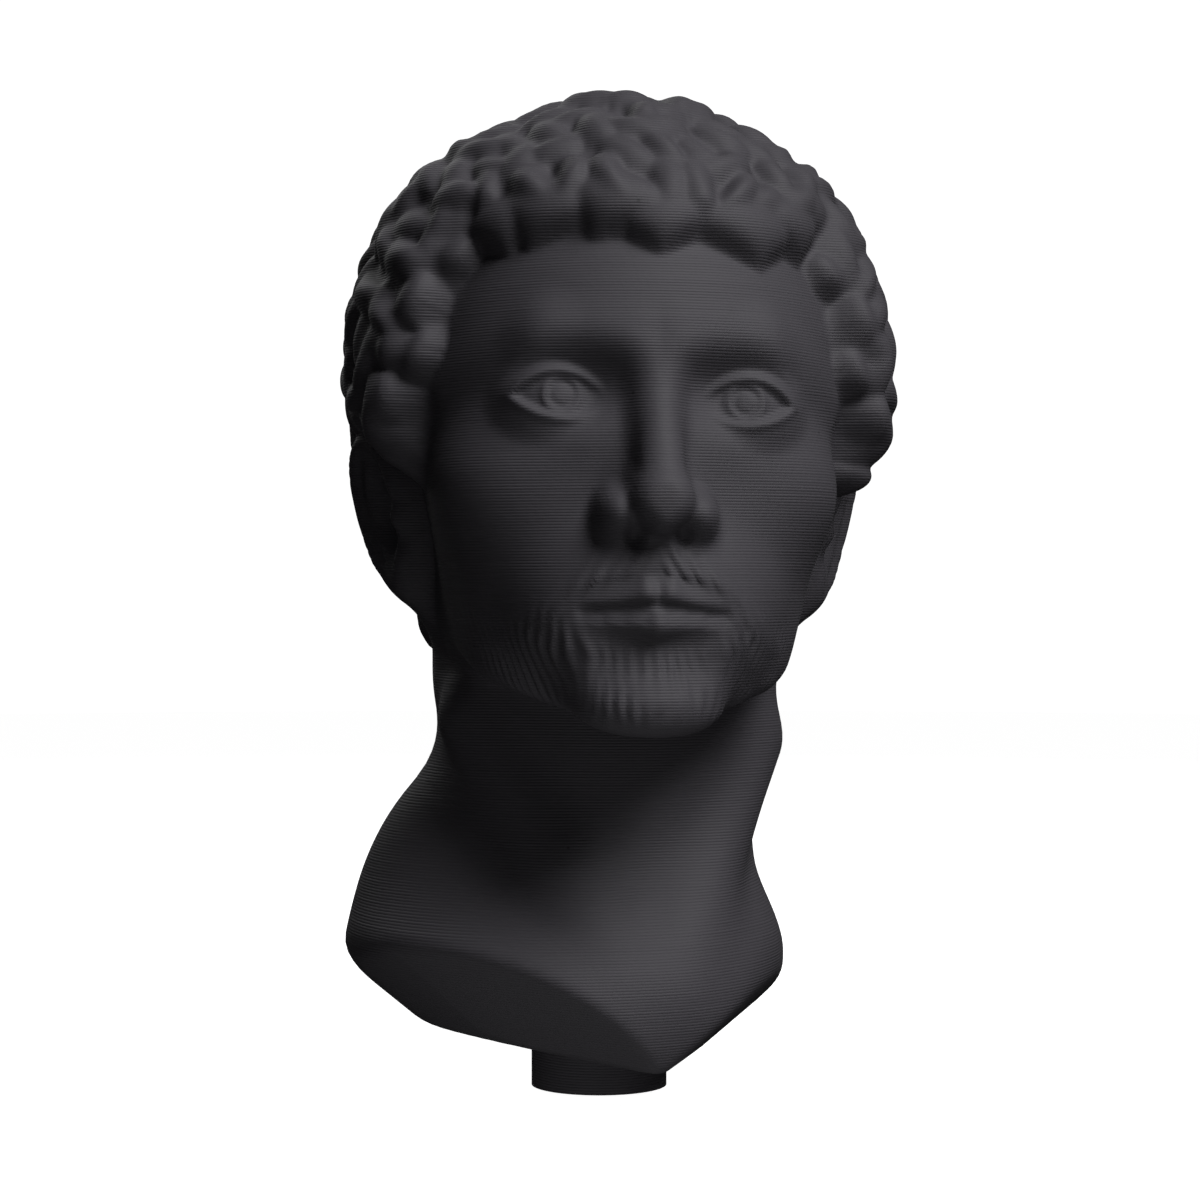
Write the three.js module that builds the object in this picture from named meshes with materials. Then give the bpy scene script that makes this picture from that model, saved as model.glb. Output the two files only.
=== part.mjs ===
// Portrait bust of a bearded man in the antique manner, printed in one piece:
// head with curly locks, neck, chest piece with a pointed lower edge, and a short round foot.
// Millimetres, +Z up, the face towards -Y, the origin in the middle of the foot's underside.
import * as THREE from 'three';

// Driving dimensions of the whole
const FOOT_RADIUS = 7.5;
const FOOT_HEIGHT = 9;
const EYE_LINE = [1.6, -2.5, 70.5];
const HEAD_PITCH = THREE.MathUtils.degToRad(-8);
const HEAD_ROLL = THREE.MathUtils.degToRad(2);
const SKULL_CENTRE = [0, 2.5, 9.5];
const SKULL_RADII = [24.5, 30, 25.5];
const NECK_TOP = [1.2, 4, 52];
const NECK_BASE = [1.2, 3, 14];
const NECK_DEPTH = 17;
const NECK_WIDEST = 19.4;

// Eyes and ears, in the head's own frame, whose origin is the middle of the eye line
const EYE_CENTRE = [9.7, -20, 0];
const EYE_RADIUS = 6;
const EYE_HALF_WIDTH = 4.4;
const EYE_UPPER = 2.1;
const EYE_LOWER = 1.7;
const LID_THICKNESS = 0.75;
const EAR_CENTRE = [24.4, 5, -7];
const EAR_HALF_WIDTH = 5.2;
const EAR_HALF_HEIGHT = 9.5;
const EAR_TURN = THREE.MathUtils.degToRad(19);
const EAR_SLOPE = THREE.MathUtils.degToRad(10);
const EAR_LEAN = THREE.MathUtils.degToRad(14);

// Hair and beard
const HAIR_THICKNESS = 2.6;
const LOCK_HEIGHT = 1.9;
const LOCK_SPACING = 4.9;
const LOCK_BALL = 29;
const LOCK_RINGS = 20;
const RING_STEP = THREE.MathUtils.degToRad(8.4);
const FIRST_RING = THREE.MathUtils.degToRad(7);
const CROWN = new THREE.Vector3(0.06, 0.42, 0.905).normalize();
const BEARD_THICKNESS = 0.36;
const MOUSTACHE_THICKNESS = 0.18;

// The net of rays that finds the surface
const COLUMNS = 84;
const ROWS = 58;
const HEAD_SHARE = 0.66;
const NECK_SHARE = 0.84;
const HEAD_RAY_START = [0, 2.5, 3.5];
const CHEST_RAY_HEIGHT = 17;
const FAR_AWAY = 62;
const CLOSE_ENOUGH = 0.004;
const HAIR_PATCH = 0.9;
const SKIN_PATCH = 0.45;

const PRINT_COLOUR = 0x312f34;
const PRINT_ROUGHNESS = 0.7;

const { clamp, degToRad, radToDeg } = THREE.MathUtils;

// Small helpers
const ramp = (from, to, x) => {
  const t = clamp((x - from) / (to - from), 0, 1);
  return t * t * (3 - 2 * t);
};
const bump = (x, width) => Math.exp(-((x / width) ** 2));
const blendMin = (a, b, k) => {
  const h = clamp(0.5 + (0.5 * (b - a)) / k, 0, 1);
  return b + (a - b) * h - k * h * (1 - h);
};
const blendMax = (a, b, k) => -blendMin(-a, -b, k);
const heap = (a, b, k) => blendMax(a, b, k * ramp(0, 0.7, Math.max(a, b)) + 1e-6);
const curve = (stops, x) => {
  if (x <= stops[0][0]) return stops[0][1];
  for (let i = 1; i < stops.length; i += 1) {
    const [x0, y0] = stops[i - 1];
    const [x1, y1] = stops[i];
    if (x <= x1) return y0 + ((y1 - y0) * (x - x0)) / (x1 - x0);
  }
  return stops[stops.length - 1][1];
};
const fraction = (x) => x - Math.floor(x);
const scatter = (i, k = 0) => fraction(Math.sin((i + 1) * 12.9898 + k * 78.233) * 43758.5453);

// Distance to simple forms, negative inside
const ball = (centre, radii) => (p) => {
  const q = p.map((v, i) => (v - centre[i]) / radii[i]);
  const near = Math.hypot(...q);
  const slope = Math.hypot(...q.map((v, i) => v / radii[i]));
  return (near * (near - 1)) / Math.max(slope, 1e-9);
};
const rod = (start, end, startRadius, endRadius) => (p) => {
  const along = end.map((v, i) => v - start[i]);
  const from = p.map((v, i) => v - start[i]);
  const square = along.reduce((sum, v) => sum + v * v, 0);
  const t = clamp(from.reduce((sum, v, i) => sum + v * along[i], 0) / square, 0, 1);
  return Math.hypot(...from.map((v, i) => v - along[i] * t)) - (startRadius + (endRadius - startRadius) * t);
};
const below = (point, normal) => {
  const length = Math.hypot(...normal);
  return (p) => p.reduce((sum, v, i) => sum + ((v - point[i]) * normal[i]) / length, 0);
};

// A form is built up step by step: join adds, cut takes away and trim keeps what lies inside a form
const build = (steps, p, start) => steps.reduce((d, [how, blend, form]) => {
  if (how === 'join') return blendMin(d, form(p), blend);
  if (how === 'cut') return blendMax(d, -form(p), blend);
  return blendMax(d, form(p), blend);
}, start);

const skull = ball(SKULL_CENTRE, SKULL_RADII);
const HEAD_FORMS = [
  ['join', 5, ball([0, -7, 5], [21.4, 21.4, 19])],
  ['join', 6, ball([0, -7.5, -9], [20.6, 19.8, 20])],
];
const JAW_FORMS = [
  ['join', 6, rod([11.2, -9, -24], [13.8, 3, -17], 4.4, 4.2)],
];
const jaw = ball([0, -10.5, -20.5], [15.6, 17, 14.4]);
const CHEEK_AND_BROW_FORMS = [
  ['join', 6, ball([13.4, -15.6, -7.4], [6.6, 6.6, 5.4])],
  ['join', 4.5, ball([0, -23.4, -30.2], [7.4, 5.8, 5.2])],
  ['trim', 3, below([0, -27, -35.4], [0, 0.419, -0.908])],
  ['join', 4.5, rod([2.5, -25.9, 5], [10.5, -23.6, 6.4], 1.7, 1.5)],
  ['join', 4.5, rod([10.5, -23.6, 6.4], [19, -14, 3.4], 1.5, 1)],
];
const NOSE_FORMS = [
  ['join', 3, rod([0, -21.6, 1.5], [0, -26, -12], 3, 4.4)],
  ['cut', 3, ball([9.2, -31.4, 0.8], [7.4, 6.4, 4.4])],
  ['join', 2.2, rod([0, -26, 4.6], [0, -31.9, -10.6], 1.9, 2.5)],
  ['join', 1.6, ball([0, -32, -11.4], [3.1, 3.1, 2.7])],
  ['join', 0.9, ball([4, -27.3, -12.3], [2.4, 4.8, 2.6])],
  ['join', 0.8, rod([0, -33, -13.1], [0, -28.6, -14.6], 1.1, 1.3)],
];
const MUZZLE_FORMS = [
  ['join', 5, ball([0, -20.8, -20.8], [11.6, 8.4, 7.6])],
  ['cut', 1.2, rod([0, -30.9, -15.9], [0, -31.1, -18.6], 0.9, 1.1)],
  ['join', 0.8, rod([1.1, -29.6, -20.4], [6.6, -27.2, -22], 1.4, 0.6)],
  ['join', 0.6, rod([0, -29.3, -23.7], [5.4, -27.8, -22.9], 1.7, 0.8)],
  ['cut', 0.5, rod([0, -31.1, -21.95], [7.2, -28.1, -22.3], 0.8, 0.7)],
];
const CHIN_CREASE = [
  ['cut', 3, rod([0, -31.2, -27.3], [4.6, -29.8, -27], 2.1, 1.8)],
];

// Distance in front view to the almond opening between the lids
function almond(x, z) {
  const across = x - EYE_CENTRE[0] + 0.1;
  const up = z - across * 0.045;
  const square = EYE_HALF_WIDTH ** 2;
  const upperRadius = (square + EYE_UPPER ** 2) / (2 * EYE_UPPER);
  const lowerRadius = (square + EYE_LOWER ** 2) / (2 * EYE_LOWER);
  return Math.max(
    Math.hypot(across, up - EYE_UPPER + upperRadius) - upperRadius,
    Math.hypot(across, up + EYE_LOWER - lowerRadius) - lowerRadius,
  );
}

// Eyeball with the lids as a thicker layer round the opening
function eye(p) {
  const outside = almond(p[0], p[2]);
  const rim = 0.22 * bump(outside - 0.7, 0.45);
  const fold = 0.35 * bump(outside - 1.8, 0.35) * ramp(0.3, 1.2, p[2]) * ramp(15.5, 13, p[0]);
  const radius = EYE_RADIUS + LID_THICKNESS * ramp(-0.4, 0.62, outside) + rim - fold;
  return Math.hypot(p[0] - EYE_CENTRE[0], p[1] - EYE_CENTRE[1], p[2] - EYE_CENTRE[2]) - radius;
}

// One half of the head, without its ear
function head(p) {
  let d = build(HEAD_FORMS, p, skull(p));
  d = blendMin(d, build(JAW_FORMS, p, jaw(p)), 6);
  d = build(CHEEK_AND_BROW_FORMS, p, d);
  d = build(NOSE_FORMS, p, d);
  d = build(MUZZLE_FORMS, p, d);
  d = build(CHIN_CREASE, p, d);
  return blendMin(d, eye(p), 0.9);
}

// The ear is a height over its own plane inside an egg-shaped outline
function ear(p) {
  const x = p[0] - EAR_CENTRE[0];
  const y = (p[1] - EAR_CENTRE[1]) * Math.cos(EAR_SLOPE) - (p[2] - EAR_CENTRE[2]) * Math.sin(EAR_SLOPE);
  const z = (p[1] - EAR_CENTRE[1]) * Math.sin(EAR_SLOPE) + (p[2] - EAR_CENTRE[2]) * Math.cos(EAR_SLOPE);
  const out = x * Math.cos(EAR_TURN) - y * Math.sin(EAR_TURN);
  const back = y * Math.cos(EAR_TURN) + x * Math.sin(EAR_TURN);
  const up = z * Math.cos(EAR_LEAN) + out * Math.sin(EAR_LEAN);
  const depth = out * Math.cos(EAR_LEAN) - z * Math.sin(EAR_LEAN);
  const across = (back + 0.3) / clamp(1 + 0.026 * up, 0.74, 1.25);
  const round = Math.hypot(across / EAR_HALF_WIDTH, up / EAR_HALF_HEIGHT);
  const lobe = ramp(-4.5, -7, up);
  const front = ramp(-2.2, -3.6, across) * ramp(1.5, -1, up);
  let height = 0.9 + 0.7 * lobe;
  height += 1.6 * bump(round - 0.84, 0.18) * (1 - 0.75 * lobe) * (1 - 0.8 * front);
  const inner = Math.hypot((across + 0.5) / 2.5, (up - 0.2) / 4.9);
  height += 1.05 * bump(inner - 1, 0.3) * ramp(-1.2, 0.6, across);
  height -= 1.1 * Math.exp(-(((across + 0.9) / 1.9) ** 2) - ((up + 1.2) / 3) ** 2);
  height += 1.3 * Math.exp(-(((across + 3.7) / 1.2) ** 2) - ((up + 1.8) / 1.7) ** 2);
  const side = (round - 1) * 5.4 - 0.4 * clamp(2.2 - depth, 0, 9);
  return blendMax((depth - height) * 0.72, side, 0.9);
}

// Neck and chest piece, with the cuts that give its pointed lower edge and slanted underside
const CHEST_FORMS = [
  ['join', 5, ball([-4.5, 3.5, 13], [23.4, 18, 28])],
  ['join', 2.5, ball([6.3, 2.5, 14.5], [14.4, 17, 12])],
  ['join', 8, ball([-5.5, -7, 10], [22.5, 17, 12.5])],
  ['join', 5, rod([-15, -5, 41], [0.5, -17.6, 13], 2.8, 2.2)],
  ['join', 5, rod([16.8, -1.5, 38], [4.8, -17.6, 13], 2.8, 2.2)],
  ['trim', 0.8, below([-6.9, -22, 12.7], [-0.5, -0.55, -0.67])],
  ['trim', 3, below([-28.1, 0.5, 13.8], [-0.62, -0.3, -0.72])],
  ['trim', 0.8, below([6.8, -21.3, 7], [0.62, -0.25, -0.74])],
  ['trim', 3, below([19.6, -6.5, 11.5], [0.85, -0.4, -0.33])],
  ['trim', 5, below([0, 17, 12], [0, 0.62, -0.78])],
  ['trim', 3, below([-22.8, 4, 9.4], [-0.6, 0.2, -0.75])],
  ['trim', 0.8, below([0, 0, 4.6], [-0.12, 0, -1])],
];
function neckAndChest(p) {
  const t = clamp((p[2] - NECK_BASE[2]) / (NECK_TOP[2] - NECK_BASE[2]), -0.6, 1.3);
  const centreX = NECK_BASE[0] + (NECK_TOP[0] - NECK_BASE[0]) * t;
  const centreY = NECK_BASE[1] + (NECK_TOP[1] - NECK_BASE[1]) * t;
  const halfWidth = blendMin(15.4 - 4.4 * t + 15 * t * t, NECK_WIDEST, 3);
  const halfDepth = NECK_DEPTH + t;
  const round = Math.hypot((p[0] - centreX) / halfWidth, (p[1] - centreY) / halfDepth);
  const neck = blendMax((round - 1) * Math.min(halfWidth, halfDepth), p[2] - 62, 4);
  return build(CHEST_FORMS, p, neck);
}

// Turning points between the object's frame and the head's
const headTurn = new THREE.Matrix3();
{
  const pitch = new THREE.Matrix4().makeRotationX(HEAD_PITCH);
  const roll = new THREE.Matrix4().makeRotationY(HEAD_ROLL);
  headTurn.setFromMatrix4(roll.multiply(pitch));
}
const headTurnBack = headTurn.clone().transpose();
const eyeLine = new THREE.Vector3(...EYE_LINE);
const toHead = (p) => new THREE.Vector3(...p).sub(eyeLine).applyMatrix3(headTurnBack).toArray();
const fromHead = (p) => new THREE.Vector3(...p).applyMatrix3(headTurn).add(eyeLine).toArray();

// Distance to the bare form, with or without the ears
function form(p, withEars) {
  const local = toHead(p);
  local[0] = Math.abs(local[0]);
  let d = head(local);
  if (withEars) d = blendMin(d, ear(local), 0.9);
  d = blendMin(d, neckAndChest(p), 4.5);
  const foot = Math.max(Math.hypot(p[0], p[1]) - FOOT_RADIUS, p[2] - FOOT_HEIGHT);
  d = blendMin(d, foot, 0.8);
  return Math.max(d, -p[2]);
}

// The hairline: its height against the angle from the face in degrees, both sides alike
const HAIRLINE = [
  [0, 16.4], [30, 16.6], [40, 17], [45, 14.5], [50, 9.5], [55, 3.5], [61, -2.5], [66, -6], [74, -7.5],
  [80, -5], [86, -3], [96, -2], [106, -6], [115, -15], [130, -21], [180, -23],
];
const DEGREE_ON_SKULL = 0.44;
const angleOf = (p) => Math.abs(radToDeg(Math.atan2(p[0], -p[1])));
function insideHairline(p) {
  const angle = angleOf(p);
  const slope = (curve(HAIRLINE, angle + 4) - curve(HAIRLINE, angle - 4)) / (8 * DEGREE_ON_SKULL);
  return (p[2] - curve(HAIRLINE, angle)) / Math.hypot(1, slope);
}
function hairThickness(angle, z) {
  const fuller = 1 + 0.75 * ramp(32, 70, angle) * ramp(33, 22, z) + 0.2 * bump(z - 33.5, 3);
  return HAIR_THICKNESS * fuller * (0.35 + 0.65 * ramp(-24, 2, z));
}
// How far in from the hairline the hair reaches its full thickness: short at the brow, long at the sides
const edgeReach = (angle) => 2.8 + 2.6 * ramp(36, 52, angle);

// Points on the skull as directions, and the other way round
const skullPoint = (direction) => direction.toArray().map((v, i) => SKULL_CENTRE[i] + SKULL_RADII[i] * v);
const skullDirection = (p) => {
  const v = p.map((value, i) => (value - SKULL_CENTRE[i]) / SKULL_RADII[i]);
  return new THREE.Vector3(...v).normalize();
};
function directionAt(angle, height) {
  const up = (height - SKULL_CENTRE[2]) / SKULL_RADII[2];
  const level = Math.sqrt(Math.max(1 - up * up, 0.01));
  const flat = new THREE.Vector3(
    Math.sin(degToRad(angle)) / SKULL_RADII[0],
    -Math.cos(degToRad(angle)) / SKULL_RADII[1],
    0,
  ).setLength(level);
  return flat.setZ(up);
}
function runAt(direction, lean) {
  const down = new THREE.Vector3(0, 0, -1).addScaledVector(direction, direction.z).normalize();
  const side = new THREE.Vector3().crossVectors(direction, down);
  return down.multiplyScalar(Math.cos(lean)).addScaledVector(side, Math.sin(lean));
}

// Locks in rings round the crown, each turned and bent its own way
function crownLocks() {
  const first = new THREE.Vector3().crossVectors(CROWN, new THREE.Vector3(1, 0, 0)).normalize();
  const second = new THREE.Vector3().crossVectors(CROWN, first);
  const locks = [];
  let count = 0;
  for (let ring = 0; ring < LOCK_RINGS; ring += 1) {
    const fromCrown = FIRST_RING + ring * RING_STEP;
    const around = Math.max(5, Math.round((2 * Math.PI * Math.sin(fromCrown) * LOCK_BALL) / LOCK_SPACING));
    for (let j = 0; j < around; j += 1) {
      count += 1;
      const turn = (2 * Math.PI * (j + 0.5 * (ring % 2) + 0.5 * (scatter(count) - 0.5))) / around;
      const tilt = fromCrown + (scatter(count, 1) - 0.5) * 0.07;
      const out = first.clone().multiplyScalar(Math.cos(turn)).addScaledVector(second, Math.sin(turn));
      const at = CROWN.clone().multiplyScalar(Math.cos(tilt)).addScaledVector(out, Math.sin(tilt));
      const away = CROWN.clone().multiplyScalar(-Math.sin(tilt)).addScaledVector(out, Math.cos(tilt));
      const side = new THREE.Vector3().crossVectors(at, away);
      const swing = (scatter(count, 2) - 0.5) * 0.9 + ((j + ring) % 2 ? 0.3 : -0.3);
      locks.push({
        at,
        run: away.multiplyScalar(Math.cos(swing)).addScaledVector(side, Math.sin(swing)),
        half: 3.9 + 1.6 * scatter(count, 3),
        width: 2 + 0.6 * scatter(count, 4),
        sway: (scatter(count, 5) > 0.5 ? 1 : -1) * (0.5 + 0.5 * scatter(count, 6)),
        size: 0.7 + 0.45 * scatter(count, 7),
      });
    }
  }
  return locks.filter(({ at, run, half }) => {
    const tip = at.clone().addScaledVector(run, half / LOCK_BALL);
    const tail = at.clone().addScaledVector(run, -half / LOCK_BALL);
    const [middleIn, tipIn, tailIn] = [at, tip, tail].map((v) => insideHairline(skullPoint(v)));
    if (at.y < -0.6 && tipIn < 1.5 && angleOf(skullPoint(at)) < 45) return false;
    return middleIn > 2 && tipIn > 0.4 && tailIn > 1;
  });
}

// The large locks over the forehead: angle and height of the tip, half width, lean and length
const FRINGE = [
  [-63, -1.2, 2.1, -0.2, 7], [-57, 2.5, 1.9, -0.5, 7], [-53.5, 6.5, 2.2, -0.1, 8], [-50, 12, 2.2, -0.6, 7],
  [-45, 17.2, 3.2, 0.45, 7], [-35, 14.8, 3.4, -0.35, 8.5], [-22, 15.4, 4.6, 0.35, 9], [-8, 15.6, 4.8, 0.2, 9],
  [4, 14.6, 4.2, 0.5, 8], [17, 14.2, 5.2, -0.4, 10], [31, 15.8, 4.2, -0.35, 9], [41, 17.8, 3.4, -0.25, 8],
  [50, 12, 2.2, 0.6, 7], [53.5, 6.5, 2.2, 0.1, 8], [57, 2.5, 1.9, 0.5, 7], [63, -1.2, 2.1, 0.2, 7],
];
function fringeLocks() {
  return FRINGE.map(([angle, height, width, lean, length]) => {
    const tip = directionAt(angle, height + 1.2);
    const at = tip.clone().addScaledVector(runAt(tip, lean), (-length * 0.62) / LOCK_BALL).normalize();
    const run = runAt(tip, lean);
    run.addScaledVector(at, -run.dot(at)).normalize();
    return { at, run, half: length * 0.62, width, sway: 0.35 * Math.sign(lean), size: 0.9 };
  });
}

// A lock follows a wavy line and rises from a thin tail to a round tip; its height lies between 0 and 1
function lockProfile(direction, { at, run, half, width, sway }) {
  if (direction.dot(at) < 0.91) return 0;
  const side = new THREE.Vector3().crossVectors(at, run);
  const along = LOCK_BALL * direction.dot(run);
  const t = clamp(along / half, -1.3, 1.3);
  const across = LOCK_BALL * direction.dot(side) + sway * width * (Math.cos(2.1 * t + 0.5) - 0.6);
  const spread = width * (0.5 + 0.65 * ramp(-1, 0.3, t));
  const body = (1 - clamp(across / spread, -1, 1) ** 2) ** 0.7;
  const end = clamp(1 - (Math.max(t - 0.3, 0) / 0.7) ** 2, 0, 1) ** 0.7 * ramp(-1.08, -0.2, t);
  return body * end * (0.2 + 0.8 * ramp(-1, 0.5, t));
}

const ringLocks = crownLocks();
const browLocks = fringeLocks().map((lock) => {
  const root = skullPoint(lock.at);
  const rootThickness = hairThickness(angleOf(root), root[2]) * ramp(-1.5, 6, insideHairline(root));
  return { ...lock, rootThickness };
});

// Thickness of the hair over the skin: a cap, the highest lock on it at each point, and the fringe's locks
function hair(p) {
  const inside = insideHairline(p);
  if (inside < -5) return 0;
  const direction = skullDirection(p);
  const angle = angleOf(p);
  let pile = 0;
  for (const lock of ringLocks) {
    pile = heap(pile, LOCK_HEIGHT * lock.size * lockProfile(direction, lock), 0.3);
  }
  let fringe = 0;
  for (const lock of browLocks) {
    const profile = lockProfile(direction, lock);
    const body = lock.rootThickness * (1 - (1 - profile) ** 3);
    fringe = heap(fringe, body + LOCK_HEIGHT * lock.size * profile, 0.35);
  }
  const cap = hairThickness(angle, p[2]) * ramp(0, edgeReach(angle), inside);
  return heap(cap + pile * ramp(-0.4, 1.8, inside), fringe, 0.5);
}

// Upper edge of the beard against the angle from the face
const BEARD_EDGE = [
  [0, -15.6], [12, -16.5], [18, -20], [30, -22.5], [45, -22], [60, -18], [70, -10], [80, -4], [90, -3],
];
function beard(p) {
  const angle = angleOf(p);
  const side = Math.abs(p[0]);
  let share = ramp(1.5, -2, p[2] - curve(BEARD_EDGE, angle)) * ramp(100, 82, angle);
  share *= ramp(0.95, 1.4, Math.hypot(side / 7.8, (p[2] + 22.2) / 3.3));
  share *= ramp(-7, -19, p[1] + 0.35 * (p[2] + 30)) * ramp(38, 33, -p[2]);
  const moustache = ramp(-25, -21.5, p[2]) * ramp(14, 9.5, side);
  return share * (BEARD_THICKNESS + MOUSTACHE_THICKNESS * moustache);
}

// Values from 0 to 1, closer together where the density is higher
function spacing(count, low, high, density) {
  const fine = 2000;
  const sums = [0];
  const at = (i) => low + ((high - low) * i) / fine;
  for (let i = 1; i <= fine; i += 1) {
    sums.push(sums[i - 1] + (density(at(i)) + density(at(i - 1))) / 2);
  }
  const total = sums[fine];
  return count.map((share) => {
    const wanted = share * total;
    const i = clamp(sums.findIndex((sum) => sum >= wanted), 1, fine);
    return at(i - 1 + (wanted - sums[i - 1]) / (sums[i] - sums[i - 1]));
  });
}
const columnAngles = spacing(
  Array.from({ length: COLUMNS }, (_, i) => (i + 0.5) / COLUMNS),
  -Math.PI,
  Math.PI,
  (angle) => 1 + 1.1 * Math.exp(-((radToDeg(angle) / 52) ** 4))
    + 0.45 * Math.exp(-(((Math.abs(radToDeg(angle)) - 98) / 22) ** 2)),
);
const rowShares = spacing(
  Array.from({ length: ROWS }, (_, i) => (i + 1) / ROWS),
  0,
  1,
  (share) => 0.9 + 1.2 * Math.exp(-(((share - 0.42) / 0.21) ** 4)) + 0.2 * bump(share - 0.93, 0.08),
);

// The ray for an angle round the object and a share of the way from the crown to the foot's edge.
// It starts in the head, slides down the neck and ends at one height in the chest.
function ray(angle, share) {
  const headStart = fromHead(HEAD_RAY_START);
  const lastDip = degToRad(56 + 10 * Math.cos(angle));
  const neckRadius = 17.5 - 3.5 * Math.cos(angle);
  const footDip = Math.atan2(CHEST_RAY_HEIGHT, FOOT_RADIUS);
  const headPart = clamp(share / HEAD_SHARE, 0, 1);
  const neckPart = clamp((share - HEAD_SHARE) / (NECK_SHARE - HEAD_SHARE), 0, 1);
  const footPart = clamp((share - NECK_SHARE) / (1 - NECK_SHARE), 0, 1);
  const fade = ramp(0, 1, neckPart);
  let rise = Math.PI / 2 - headPart * (Math.PI / 2 + lastDip);
  let start = headStart;
  if (share > HEAD_SHARE) {
    rise = -lastDip * (1 - fade);
    const leave = headStart[2] - neckRadius * Math.tan(lastDip);
    const height = leave + (CHEST_RAY_HEIGHT - leave) * neckPart;
    start = [headStart[0] * (1 - fade), headStart[1] * (1 - fade), height - neckRadius * Math.tan(rise)];
  }
  if (share > NECK_SHARE) {
    rise = -footDip * footPart;
    start = [0, 0, CHEST_RAY_HEIGHT];
  }
  const level = Math.cos(rise);
  const turn = new THREE.Matrix4().makeRotationY(HEAD_ROLL * (1 - fade));
  turn.multiply(new THREE.Matrix4().makeRotationX(HEAD_PITCH * (1 - fade)));
  const direction = new THREE.Vector3(Math.sin(angle) * level, -Math.cos(angle) * level, Math.sin(rise));
  return { start, direction: direction.applyMatrix4(turn).toArray() };
}

// Walks in along a ray until it meets the form
function meet({ start, direction }, from, withEars) {
  let distance = from;
  for (let i = 0; i < 160; i += 1) {
    const gap = form(start.map((v, k) => v + direction[k] * distance), withEars);
    if (Math.abs(gap) < CLOSE_ENOUGH) break;
    distance -= clamp(gap * 0.55, -2, 4);
  }
  return distance;
}

// A value evened out over a small patch round a ray, so that the net carries folds and locks well
function aroundRay(angle, share, distance, reach, value) {
  const { direction } = ray(angle, share);
  const level = Math.max(Math.hypot(direction[0], direction[1]), 0.05);
  const angleReach = Math.min(reach / (distance * level), 0.6);
  const shareReach = (reach / distance) * (HEAD_SHARE / degToRad(150));
  const steps = [-1, 0, 1];
  const values = steps.flatMap((i) => steps.map((j) => (
    value(ray(angle + i * angleReach, Math.max(share + j * shareReach, 0)))
  )));
  return values.reduce((sum, v) => sum + v, 0) / values.length;
}

// The surface point of one ray, with hair and beard laid on
function surfacePoint(angle, share) {
  const line = ray(angle, share);
  const pointAt = (distance) => line.start.map((v, k) => v + line.direction[k] * distance);
  if (share > 1 - 1e-9) return [FOOT_RADIUS * Math.sin(angle), -FOOT_RADIUS * Math.cos(angle), 0];
  const first = meet(line, FAR_AWAY, true);
  if (share > HEAD_SHARE + 0.06) return pointAt(first);
  const outer = aroundRay(angle, share, first, SKIN_PATCH, (near) => meet(near, first + 1.5, true));
  const bare = meet(line, first + 0.2, false);
  const local = toHead(pointAt(bare));
  const hairDepth = aroundRay(angle, share, bare, HAIR_PATCH, (near) => (
    hair(toHead(near.start.map((v, k) => v + near.direction[k] * bare)))
  ));
  let distance = bare + heap(Math.max(outer - bare, 0), hairDepth, 0.5);
  if (hairDepth < 0.01) distance = outer;
  if (outer - bare < 0.3) distance += beard(local) * ramp(0.4, 0.05, hairDepth);
  return pointAt(distance);
}

// Closes the net with a point on the crown and one in the middle of the foot's underside
function bustGeometry() {
  const points = rowShares.flatMap((share) => columnAngles.map((angle) => surfacePoint(angle, share)));
  const firstRow = points.slice(0, COLUMNS);
  const crown = [0, 1, 2].map((k) => firstRow.reduce((sum, p) => sum + p[k], 0) / COLUMNS);
  points.push(crown, [0, 0, 0]);
  const crownIndex = points.length - 2;
  const footIndex = points.length - 1;
  const triangles = [];
  for (let j = 0; j < COLUMNS; j += 1) {
    const next = (j + 1) % COLUMNS;
    triangles.push(crownIndex, j, next);
    for (let i = 0; i < ROWS - 1; i += 1) {
      const [a, b] = [i * COLUMNS + j, i * COLUMNS + next];
      const [c, d] = [a + COLUMNS, b + COLUMNS];
      triangles.push(a, c, d, a, d, b);
    }
    const last = (ROWS - 1) * COLUMNS;
    triangles.push(footIndex, last + next, last + j);
  }
  const geometry = new THREE.BufferGeometry();
  geometry.setAttribute('position', new THREE.Float32BufferAttribute(points.flat(), 3));
  geometry.setIndex(triangles);
  geometry.computeVertexNormals();
  return geometry;
}

const group = new THREE.Group();
const bust = new THREE.Mesh(
  bustGeometry(),
  new THREE.MeshStandardMaterial({ color: PRINT_COLOUR, roughness: PRINT_ROUGHNESS, metalness: 0 }),
);
bust.name = 'bust';
group.add(bust);

export default group;
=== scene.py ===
"""A printed portrait bust on a pale studio floor: the surface of the print, its finish, lights and camera.

The sculpt is worked out in millimetres in the object's frame: +Z up, the face towards -Y, the origin
in the middle of the foot's underside. The mesh is made in metres.
"""
import math

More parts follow.
